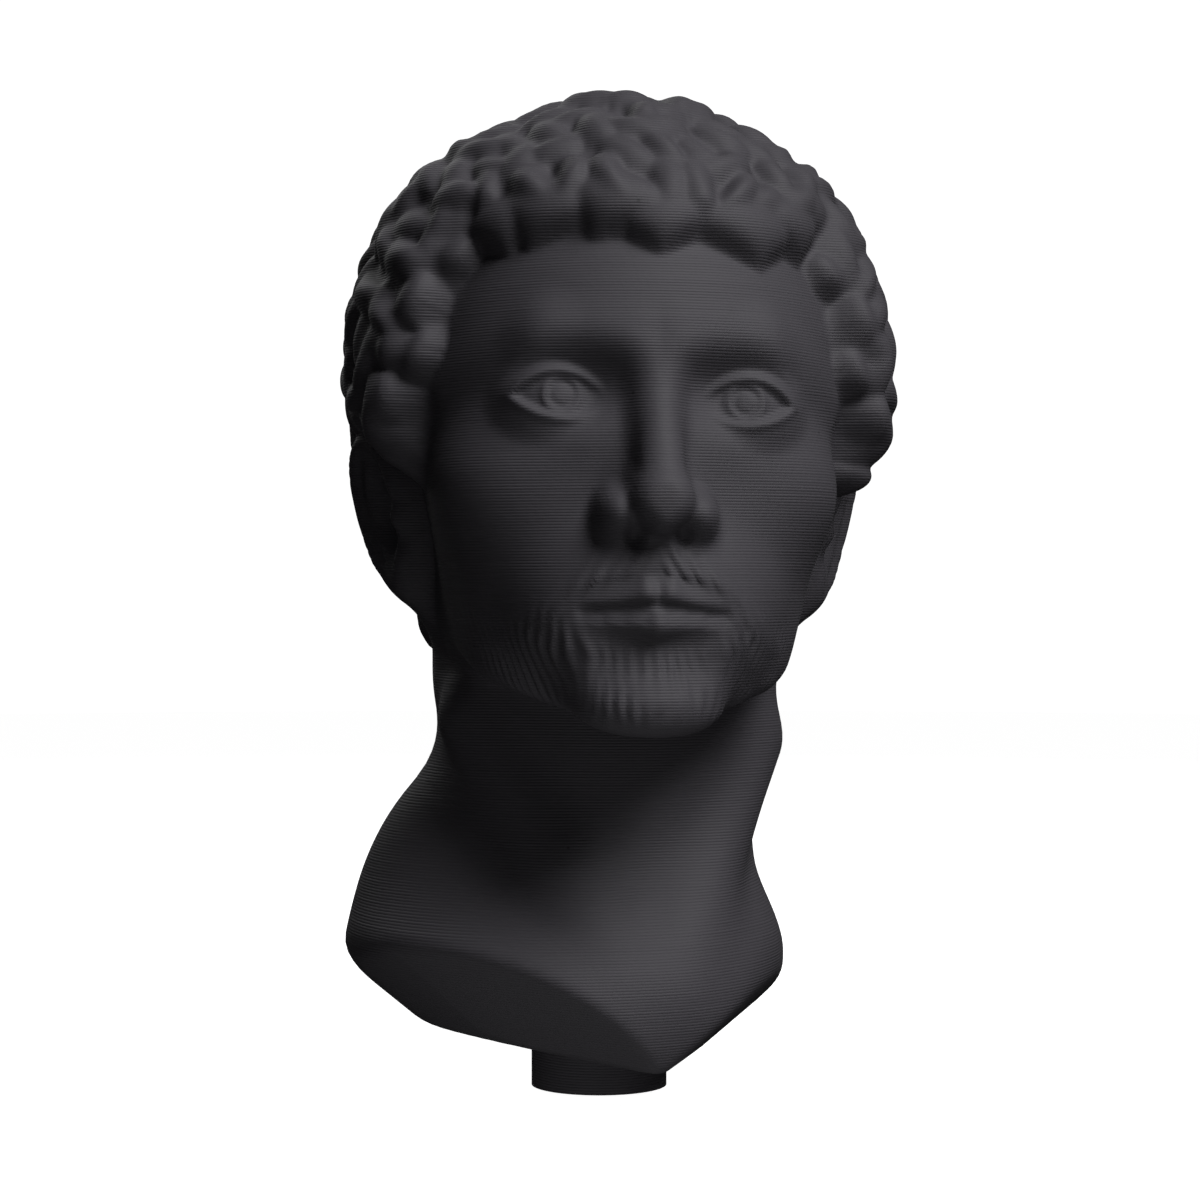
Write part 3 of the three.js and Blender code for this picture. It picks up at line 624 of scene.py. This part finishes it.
def rows_beside(grid):
    """The rows above and below each row of a grid, with its first and last row doubled."""
    return np.concatenate([grid[:1], grid[:-1]]), np.concatenate([grid[1:], grid[-1:]])


def largest_near(grid):
    """The largest value among each grid point and its neighbours."""
    wide = np.maximum(np.maximum(np.roll(grid, 1, 1), np.roll(grid, -1, 1)), grid)
    above, under = rows_beside(wide)
    return np.maximum(np.maximum(above, under), wide)


def evened(grid):
    """Each grid point averaged with its neighbours, weighted 1 2 1 both ways."""
    wide = (np.roll(grid, 1, 1) + np.roll(grid, -1, 1) + 2 * grid) / 4
    above, under = rows_beside(wide)
    return (above + under + 2 * wide) / 4


def print_surface(columns, rows):
    """Points of the print's surface on a grid: the bare form, then hair and beard laid on by ray."""
    rough_angles, rough_shares = column_angles(ROUGH_COLUMNS), row_shares(ROUGH_ROWS)
    start, direction = rays(rough_angles, rough_shares)
    rough = meet(start, direction, np.full(start.shape[1], float(FAR_AWAY)), steps=80, pace=0.7)
    rough = rough.reshape(len(rough_shares), len(rough_angles))
    angles, shares = column_angles(columns), row_shares(rows)
    start, direction = rays(angles, shares)
    grid = (rows, columns)
    first = resampled(largest_near(rough), rough_angles, rough_shares, angles, shares).ravel()
    outer = meet(start, direction, first + 0.4, steps=20, pace=0.6)
    outer = outermost(start, direction, outer).reshape(grid)
    in_head = np.broadcast_to(((shares > 0.03) & (shares < HEAD_SHARE))[:, None], grid)
    for _ in range(EVENING_PASSES):
        uneven = evened(outer) - outer
        share = np.clip((np.abs(uneven) - EVEN_ENOUGH) / (2 * EVEN_ENOUGH), 0, 1)
        outer = outer + share * in_head * uneven
    near = np.minimum(outer.ravel(), first) + 0.2
    bare = meet(start, direction, near, steps=16, pace=0.7, with_ears=False)
    local = to_head(start + direction * bare)
    upper = np.broadcast_to((shares < HEAD_SHARE + 0.06)[:, None], grid)
    hair_depth = evened(hair(local).reshape(grid) * upper)
    bare = bare.reshape(grid)
    distance = bare + heap(outer - bare, hair_depth, HAIR_FILLET)
    beard_share = upper * ramp(0.9, 0.3, outer - bare) * ramp(0.4, 0.05, hair_depth)
    distance += beard(local).reshape(grid) * beard_share
    points = (start + direction * distance.ravel()).reshape(3, *grid)
    points[:, -1] = [FOOT_RADIUS * np.sin(angles), -FOOT_RADIUS * np.cos(angles), 0 * angles]
    return points


def eased_inside(places, low, high):
    """Bends the points nearest a box's sides and top back inside it: x to EASE tanh(x / EASE)."""
    over = np.maximum(places - (high - EASE), 0)
    under = np.maximum(low + EASE - places, 0) * [1, 1, 0]
    return places - over + under + EASE * (np.tanh(over / EASE) - np.tanh(under / EASE))


def closed_mesh(name, points):
    """A mesh of quads on the grid, closed by a fan on the crown and a flat one under the foot."""
    _, rows, columns = points.shape
    crown = points[:, 0].mean(1)
    places = np.concatenate([points.reshape(3, -1).T, [crown, [0, 0, 0]]]) * MM
    places = eased_inside(places, *np.array(CAD_BOX, float))
    row = np.arange(rows - 1)[:, None] * columns
    column = np.arange(columns)[None]
    following = (column + 1) % columns
    quads = np.stack([row + column, row + columns + column, row + columns + following, row + following], -1)
    top, bottom = rows * columns, rows * columns + 1
    last = (rows - 1) * columns
    crown_fan = np.stack([np.full(columns, top), column[0], following[0]], 1)
    foot_fan = np.stack([np.full(columns, bottom), last + following[0], last + column[0]], 1)
    corners = np.concatenate([quads.ravel(), crown_fan.ravel(), foot_fan.ravel()])
    sizes = np.concatenate([np.full(quads.size // 4, 4), np.full(2 * columns, 3)])
    mesh = bpy.data.meshes.new(name)
    mesh.vertices.add(len(places))
    mesh.vertices.foreach_set("co", places.ravel())
    mesh.loops.add(len(corners))
    mesh.loops.foreach_set("vertex_index", corners.astype(np.int32))
    mesh.polygons.add(len(sizes))
    mesh.polygons.foreach_set("loop_start", (np.cumsum(sizes) - sizes).astype(np.int32))
    mesh.update(calc_edges=True)
    ends = np.empty(len(mesh.edges) * 2, np.int32)
    mesh.edges.foreach_get("vertices", ends)
    rim = (ends.reshape(-1, 2) >= last).all(1) & (ends.reshape(-1, 2) < top).all(1)
    sharp = mesh.attributes.new("sharp_edge", "BOOLEAN", "EDGE")
    sharp.data.foreach_set("value", rim)
    mesh.validate()
    return mesh


def new_object(name, mesh):
    item = bpy.data.objects.new(name, mesh)
    bpy.context.scene.collection.objects.link(item)
    return item


# Finish: sizes of the plastic's patterns, in metres, and the colour of its dark specks, which are painted
# shade standing in for small pits
LAYER_DRIFT_SIZE = 0.012
GRAIN_SIZE = 0.0005
SHADE_SIZE = 0.02
STRAND_PITCH = 0.00062
PIT_SHADE_SPACING = 0.007
PIT_SHADE_COLOUR = (0.006, 0.006, 0.007, 1)


class Wire:
    """A socket of a shader node, with arithmetic that adds Math nodes."""

    def __init__(self, tree, socket):
        self.tree = tree
        self.socket = socket

    def math(self, operation, *values, swap=False):
        values = [self, *values]
        if swap:
            values.reverse()
        return add_node(self.tree, "ShaderNodeMath", {"operation": operation}, dict(enumerate(values)))[0]

    def __add__(self, other):
        return self.math("ADD", other)

    def __sub__(self, other):
        return self.math("SUBTRACT", other)

    def __rsub__(self, other):
        return self.math("SUBTRACT", other, swap=True)

    def __mul__(self, other):
        return self.math("MULTIPLY", other)

    def __truediv__(self, other):
        return self.math("DIVIDE", other)

    __radd__ = __add__
    __rmul__ = __mul__


def add_node(tree, kind, settings=None, sockets=None):
    """Adds a node, sets its settings, then its sockets to values or links, and gives its outputs."""
    node = tree.nodes.new(kind)
    for key, value in (settings or {}).items():
        setattr(node, key, value)
    for key, value in (sockets or {}).items():
        if isinstance(value, Wire):
            tree.links.new(value.socket, node.inputs[key])
        else:
            node.inputs[key].default_value = value
    return [Wire(tree, socket) for socket in node.outputs]


def level(tree, value, low, high):
    """Brings a wire from between low and high to between 0 and 1."""
    limits = {"From Min": low, "From Max": high}
    return add_node(tree, "ShaderNodeMapRange", {"clamp": True}, {"Value": value, **limits})[0]


def noise(tree, place, size, detail=2):
    """Noise whose lumps are about size metres across."""
    sockets = {"Vector": place, "Scale": 1 / size, "Detail": detail}
    return add_node(tree, "ShaderNodeTexNoise", None, sockets)[0]


def printed_plastic():
    """Charcoal plastic in level layers: ridges along Z, fine grain, drifting shade, painted shade in the
    grooves between layers, and a few dark specks of painted shade standing in for small pits.
    """
    finish = bpy.context.scene.bust_finish
    material = bpy.data.materials.new("printed_plastic")
    material.use_nodes = True
    tree = material.node_tree
    tree.nodes.clear()
    coordinates = add_node(tree, "ShaderNodeTexCoord")
    normal, place = coordinates[1], coordinates[3]
    height = add_node(tree, "ShaderNodeSeparateXYZ", None, {0: place})[2]
    drift = noise(tree, place, LAYER_DRIFT_SIZE)
    layer = height / finish.layer_pitch + drift * 0.5
    number = layer.math("FLOOR")
    part = layer - number
    ridge = (part - 0.5) * (part - 0.5) * -4 + 1
    chance = add_node(tree, "ShaderNodeTexWhiteNoise", {"noise_dimensions": "1D"}, {"W": number})[0]
    grain = noise(tree, place, GRAIN_SIZE, 3)
    facing_up = level(tree, add_node(tree, "ShaderNodeSeparateXYZ", None, {0: normal})[2], 0.6, 0.95)
    split = add_node(tree, "ShaderNodeSeparateXYZ", None, {0: place})
    strand = ((split[0] + split[1]) * (2 * math.pi / STRAND_PITCH)).math("SINE")
    relief = ridge * (0.7 + chance * 0.5) + grain * 0.5 + strand * facing_up * 0.25
    shade = noise(tree, place, SHADE_SIZE, 3)
    # Colour tone: random drift from shade noise, layer chance and grain, plus the layer ridge, which paints
    # shade into the grooves between layers and lighter crests
    tone_and_groove_shade = level(tree, shade * 0.6 + chance * 0.12 + grain * 0.35 + ridge * 0.15, 0.25, 0.85)
    # Dark specks: painted shade standing in for small pits in the plastic, which the mesh does not have
    cells = {"Vector": place, "Scale": 1 / PIT_SHADE_SPACING}
    from_pit_shade = add_node(tree, "ShaderNodeTexVoronoi", None, cells)[0]
    pit_shade = 1 - level(tree, from_pit_shade, 0.018, 0.034)
    dark = [c * (1 - finish.shade_change) for c in finish.print_colour] + [1]
    light = [c * (1 + finish.shade_change) for c in finish.print_colour] + [1]
    colour_mix = {"data_type": "RGBA"}
    colour = add_node(tree, "ShaderNodeMix", colour_mix, {0: tone_and_groove_shade, 6: dark, 7: light})[2]
    pit_shaded = {0: pit_shade * 0.7, 6: colour, 7: PIT_SHADE_COLOUR}
    colour = add_node(tree, "ShaderNodeMix", colour_mix, pit_shaded)[2]
    bump_sockets = {"Strength": 1.0, "Distance": finish.layer_depth, "Height": relief}
    raised = add_node(tree, "ShaderNodeBump", None, bump_sockets)[0]
    roughness = finish.roughness - 0.08 + shade * 0.12 + grain * 0.06
    shader = add_node(tree, "ShaderNodeBsdfPrincipled", None, {
        "Base Color": colour,
        "Roughness": roughness,
        "Normal": raised,
        "Specular IOR Level": 0.3,
    })[0]
    add_node(tree, "ShaderNodeOutputMaterial", None, {"Surface": shader})
    return material


def pale_floor():
    """Pale even floor and wall of the studio."""
    stage = bpy.context.scene.bust_stage
    material = bpy.data.materials.new("pale_floor")
    material.use_nodes = True
    tree = material.node_tree
    tree.nodes.clear()
    shader = add_node(tree, "ShaderNodeBsdfPrincipled", None, {
        "Base Color": (*stage.floor_colour, 1),
        "Roughness": 0.9,
        "Emission Color": (1, 1, 1, 1),
        "Emission Strength": stage.floor_glow,
    })[0]
    add_node(tree, "ShaderNodeOutputMaterial", None, {"Surface": shader})
    return material


class BustSizes(bpy.types.PropertyGroup):
    hair_thickness: FloatProperty(
        name="Hair thickness", description="Thickness of the hair under its locks",
        default=0.0026, unit="LENGTH")
    lock_height: FloatProperty(
        name="Lock height", description="How far a lock rises above the hair under it",
        default=0.0019, unit="LENGTH")
    beard_thickness: FloatProperty(
        name="Beard thickness", description="Thickness of the beard on the skin",
        default=0.00036, unit="LENGTH")
    stroke_spacing: FloatProperty(
        name="Stroke spacing", description="Distance between the beard's strokes",
        default=0.00125, unit="LENGTH")
    lid_thickness: FloatProperty(
        name="Lid thickness", description="How far the lids stand off the eyeball",
        default=0.00075, unit="LENGTH")
    columns: IntProperty(
        name="Columns", description="Points of the net round the object",
        default=360, min=60)
    rows: IntProperty(
        name="Rows", description="Points of the net from crown to foot",
        default=276, min=60)


class BustFinish(bpy.types.PropertyGroup):
    print_colour: FloatVectorProperty(
        name="Print colour", description="Colour of the plastic",
        default=(0.0310, 0.0288, 0.0338), subtype="COLOR", min=0, max=1)
    shade_change: FloatProperty(
        name="Shade change", description="How far the colour drifts to darker and lighter",
        default=0.14)
    roughness: FloatProperty(
        name="Roughness", description="Roughness of the plastic",
        default=0.7, min=0, max=1)
    layer_pitch: FloatProperty(
        name="Layer pitch", description="Height of one printed layer",
        default=0.0003, precision=5, unit="LENGTH")
    layer_depth: FloatProperty(
        name="Layer depth", description="How far a layer's edge stands out",
        default=0.00004, precision=6, unit="LENGTH")


class BustStage(bpy.types.PropertyGroup):
    floor_colour: FloatVectorProperty(
        name="Floor colour", description="Colour of the floor and the wall behind",
        default=(0.7, 0.7, 0.7), subtype="COLOR", min=0, max=1)
    floor_glow: FloatProperty(
        name="Floor glow", description="Light given off by floor and wall",
        default=0.99)
    key_power: FloatProperty(
        name="Key light", description="Power of the main light",
        default=4, unit="POWER")
    fill_power: FloatProperty(
        name="Fill light", description="Power of the soft front light",
        default=0.22, unit="POWER")
    rim_power: FloatProperty(
        name="Rim light", description="Power of the light from behind",
        default=1.2, unit="POWER")
    bounce_power: FloatProperty(
        name="Bounce light", description="Power of the glow from the floor in front",
        default=0.036, unit="POWER")
    sky: FloatProperty(
        name="Sky", description="Even light from all round",
        default=0.028)
    camera_distance: FloatProperty(
        name="Camera distance", description="From the camera to the foot's axis",
        default=0.3153, unit="LENGTH")
    camera_height: FloatProperty(
        name="Camera height", description="Height of the camera over the floor",
        default=0.0547, unit="LENGTH")
    camera_turn: FloatProperty(
        name="Camera turn", description="Angle of the camera round the object",
        default=-8 * DEGREE, unit="ROTATION")
    lens: FloatProperty(
        name="Lens", description="Focal length for a 36 mm sensor, in millimetres",
        default=85)


class BUST_OT_make_print(bpy.types.Operator):
    """Makes the printed bust with its fine relief"""
    bl_idname = "bust.make_print"
    bl_label = "Make the bust"

    def execute(self, context):
        sizes = context.scene.bust_sizes
        points = print_surface(sizes.columns, sizes.rows)
        piece = new_object("printed_bust", closed_mesh("printed_bust", points))
        piece.data.materials.append(printed_plastic())
        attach(piece, "root")
        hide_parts("bust")
        return {"FINISHED"}


# Floor and wall, all round: radius of the studio, radius of the bend between floor and wall, height
STUDIO_RADIUS = 1.5
BEND_RADIUS = 0.5
WALL_HEIGHT = 1.6
# Width of the camera's sensor in mm, then the photograph's size, horizon row and foot column in pixels
SENSOR_WIDTH = 36
PHOTO_SIZE = 1200
HORIZON_ROW = 592
FOOT_COLUMN = 599


def studio_sweep():
    """Round floor that bends up into a wall: line, quarter circle and line, carried round the Z axis."""
    bend = np.linspace(0, np.pi / 2, 16)
    reach = np.concatenate([STUDIO_RADIUS - BEND_RADIUS * (1 - np.sin(bend)), [STUDIO_RADIUS]])
    rise = np.concatenate([BEND_RADIUS * (1 - np.cos(bend)), [WALL_HEIGHT]])
    turn = np.linspace(0, 2 * np.pi, 96, endpoint=False)[:, None]
    rings = np.stack([reach * np.cos(turn), reach * np.sin(turn), rise + 0 * turn], -1)
    places = np.concatenate([rings.reshape(-1, 3), [[0, 0, 0]]])
    count = len(reach)
    start = np.arange(len(turn))[:, None] * count
    following = np.roll(start, -1, 0)
    i = np.arange(count - 1)
    quads = np.stack([start + i, following + i, following + i + 1, start + i + 1], -1)
    middle = len(places) - 1
    fan = np.stack([0 * start + middle, start, following], -1)
    faces = quads.reshape(-1, 4).tolist() + fan.reshape(-1, 3).tolist()
    mesh = bpy.data.meshes.new("studio_sweep")
    mesh.from_pydata(places.tolist(), [], faces)
    mesh.shade_smooth()
    return mesh


def seen_from(turn, rise, distance, target):
    """Point at an angle round the target and above it: the face is at turn 0."""
    reach = math.cos(rise) * distance
    return target + Vector((math.sin(turn) * reach, -math.cos(turn) * reach, math.sin(rise) * distance))


def aim(item, target):
    item.rotation_mode = "QUATERNION"
    item.rotation_quaternion = (target - item.location).to_track_quat("-Z", "Y")


def soft_light(name, turn, rise, distance, size, power, target):
    """A square area light that looks at the target."""
    light = bpy.data.lights.new(name, "AREA")
    light.shape = "SQUARE"
    light.size = size
    light.energy = power
    item = new_object(name, light)
    item.visible_camera = False
    item.location = seen_from(turn * DEGREE, rise * DEGREE, distance, target)
    aim(item, target)


class BUST_OT_make_stage(bpy.types.Operator):
    """Makes the floor, the lights and the camera"""
    bl_idname = "bust.make_stage"
    bl_label = "Make the studio"

    def execute(self, context):
        stage = context.scene.bust_stage
        sweep = new_object("studio_sweep", studio_sweep())
        sweep.data.materials.append(pale_floor())
        sweep.visible_diffuse = False
        sweep.visible_glossy = False
        world = bpy.data.worlds.new("studio_light")
        world.use_nodes = True
        background = world.node_tree.nodes["Background"]
        background.inputs["Color"].default_value = (1, 1, 1, 1)
        background.inputs["Strength"].default_value = stage.sky
        context.scene.world = world
        middle = Vector((0, 0, 0.06))
        soft_light("key_light", turn=32, rise=46, distance=0.5, size=0.27, power=stage.key_power,
                   target=Vector((0, 0, 0.07)))
        soft_light("fill_light", turn=5, rise=0, distance=0.9, size=0.5, power=stage.fill_power,
                   target=middle)
        soft_light("rim_light", turn=-162, rise=34, distance=0.7, size=0.4, power=stage.rim_power,
                   target=middle)
        soft_light("bounce_light", turn=-25, rise=-80, distance=0.058, size=0.16,
                   power=stage.bounce_power, target=Vector((0, -0.09, 0.06)))
        camera = new_object("camera", bpy.data.cameras.new("camera"))
        camera.data.lens = stage.lens
        camera.data.sensor_width = SENSOR_WIDTH
        camera.data.clip_start = 0.01
        camera.data.shift_x = (PHOTO_SIZE / 2 - FOOT_COLUMN) / PHOTO_SIZE
        camera.data.shift_y = (HORIZON_ROW - PHOTO_SIZE / 2) / PHOTO_SIZE
        target = Vector((0, 0, stage.camera_height))
        camera.location = seen_from(stage.camera_turn, 0, stage.camera_distance, target)
        aim(camera, target)
        context.scene.camera = camera
        context.scene.view_settings.view_transform = "Standard"
        context.scene.view_settings.look = "None"
        return {"FINISHED"}


class BUST_PT_panel(bpy.types.Panel):
    """Sizes, colours and makers of the bust"""
    bl_idname = "BUST_PT_panel"
    bl_label = "Printed bust"
    bl_space_type = "VIEW_3D"
    bl_region_type = "UI"
    bl_category = "Bust"

    def draw(self, context):
        scene = context.scene
        for group in (scene.bust_sizes, scene.bust_finish, scene.bust_stage):
            box = self.layout.box()
            for name in group.__annotations__:
                box.prop(group, name)
        self.layout.operator(BUST_OT_make_print.bl_idname)
        self.layout.operator(BUST_OT_make_stage.bl_idname)


CLASSES = (BustSizes, BustFinish, BustStage, BUST_OT_make_print, BUST_OT_make_stage, BUST_PT_panel)


def register():
    for item in CLASSES:
        bpy.utils.register_class(item)
    bpy.types.Scene.bust_sizes = PointerProperty(type=BustSizes)
    bpy.types.Scene.bust_finish = PointerProperty(type=BustFinish)
    bpy.types.Scene.bust_stage = PointerProperty(type=BustStage)


def unregister():
    del bpy.types.Scene.bust_stage
    del bpy.types.Scene.bust_finish
    del bpy.types.Scene.bust_sizes
    for item in reversed(CLASSES):
        bpy.utils.unregister_class(item)


def main():
    register()
    bpy.ops.bust.make_print()
    bpy.ops.bust.make_stage()


if __name__ == "__main__":
    main()
